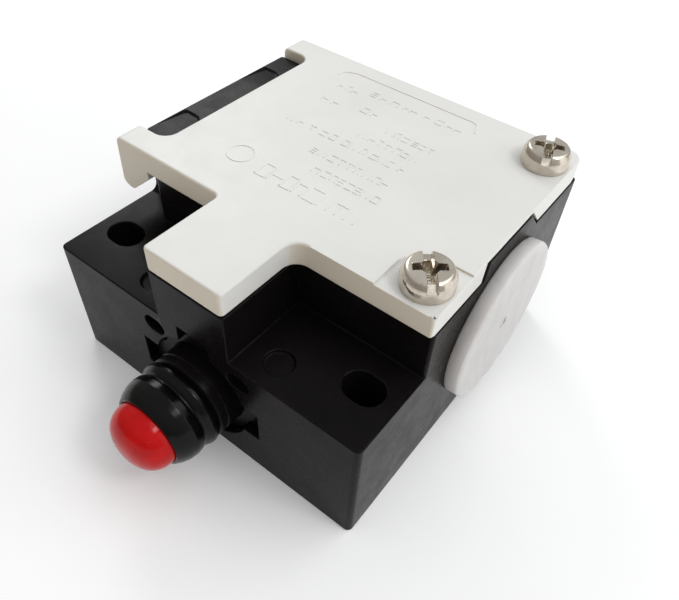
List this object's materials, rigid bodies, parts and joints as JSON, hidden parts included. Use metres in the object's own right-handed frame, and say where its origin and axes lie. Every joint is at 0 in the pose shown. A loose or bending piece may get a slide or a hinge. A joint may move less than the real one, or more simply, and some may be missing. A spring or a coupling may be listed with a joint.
{
  "type": "plunger limit switch",
  "caption": "Low rectangular limit switch with a front plunger under a rubber boot, a screwed cover and a capped cable entry at one side.",
  "frame": {"origin": "on the mounting face, midway between the two fixing slots", "axes": "+Z away from the mounting face towards the cover, +Y along the plunger's travel as it is pressed, +X towards the cable entry"},
  "size_m": [0.0647, 0.0781, 0.0413],
  "materials": {
    "plastic_black": "finely eroded moulded thermoplastic, black",
    "rubber_black": "smooth moulded rubber, black",
    "plastic_grey": "finely eroded moulded thermoplastic, light grey",
    "plastic_white": "smooth translucent polyethylene, white",
    "plastic_red": "polished moulded thermoplastic, red",
    "plastic_cream": "moulded thermoset, cream",
    "plastic_brown": "moulded thermoset, red-brown",
    "nickel": "nickel-plated steel",
    "brass": "drawn brass",
    "spring_steel": "drawn spring wire",
    "steel": "ground stainless steel",
    "silver": "silver-faced copper alloy"
  },
  "bodies": {
    "enclosure": {"housing": "plastic_black", "screw_insert_front": "brass", "screw_insert_rear": "brass", "gaiter": "rubber_black", "guide_bush": "plastic_black", "bush_cap": "plastic_black", "bayonet_ring": "plastic_black", "shaft_seal": "rubber_black", "return_spring": "spring_steel", "contact_base": "plastic_cream", "contact_lid": "plastic_cream", "carrier_spring": "spring_steel", "block_screw_left": "nickel", "block_screw_right": "nickel", "fixed_contact_nc_left": "brass", "clamp_plate_nc_left": "nickel", "terminal_screw_nc_left": "nickel", "fixed_contact_nc_right": "brass", "clamp_plate_nc_right": "nickel", "terminal_screw_nc_right": "nickel", "fixed_contact_no_left": "brass", "clamp_plate_no_left": "nickel", "terminal_screw_no_left": "nickel", "fixed_contact_no_right": "brass", "clamp_plate_no_right": "nickel", "terminal_screw_no_right": "nickel"},
    "plunger": {"plunger_button": "plastic_red", "plunger_shaft": "steel"},
    "contact_carriage": {"contact_carrier": "plastic_brown", "bridge_nc": "silver", "bridge_no": "silver", "bridge_spring_nc": "spring_steel", "bridge_spring_no": "spring_steel"},
    "lid": {"cover": "plastic_grey", "cover_gasket": "rubber_black"},
    "front_screw": {"cover_screw_front": "nickel"},
    "rear_screw": {"cover_screw_rear": "nickel"},
    "dust_cap": {"entry_cap": "plastic_white"}
  },
  "joints": [
    {"name": "plunger_press", "type": "slide", "parent": "enclosure", "child": "plunger", "axis": [0, 1, 0], "range_m": [0, 0.004], "stiffness_N_per_m": 1500, "springref_m": -0.004, "deforming": ["gaiter", "return_spring"]},
    {"name": "carriage_travel", "type": "slide", "parent": "enclosure", "child": "contact_carriage", "axis": [0, 1, 0], "range_m": [0, 0.004], "stiffness_N_per_m": 400, "springref_m": -0.003, "deforming": ["carrier_spring"]},
    {"name": "cover_lift", "type": "slide", "parent": "enclosure", "child": "lid", "axis": [0, 0, 1], "range_m": [0, 0.03]},
    {"name": "front_screw_turn", "type": "hinge", "parent": "lid", "child": "front_screw", "pos_m": [0.0266, 0.0106, 0.03765], "axis": [0, 0, 1], "continuous": true},
    {"name": "rear_screw_turn", "type": "hinge", "parent": "lid", "child": "rear_screw", "pos_m": [0.0266, 0.0467, 0.038], "axis": [0, 0, 1], "continuous": true},
    {"name": "cap_pull", "type": "slide", "parent": "enclosure", "child": "dust_cap", "axis": [1, 0, 0], "range_m": [0, 0.015]}
  ],
  "couplings": [
    {"joint": "carriage_travel", "follows": "plunger_press", "ratio": 1}
  ]
}
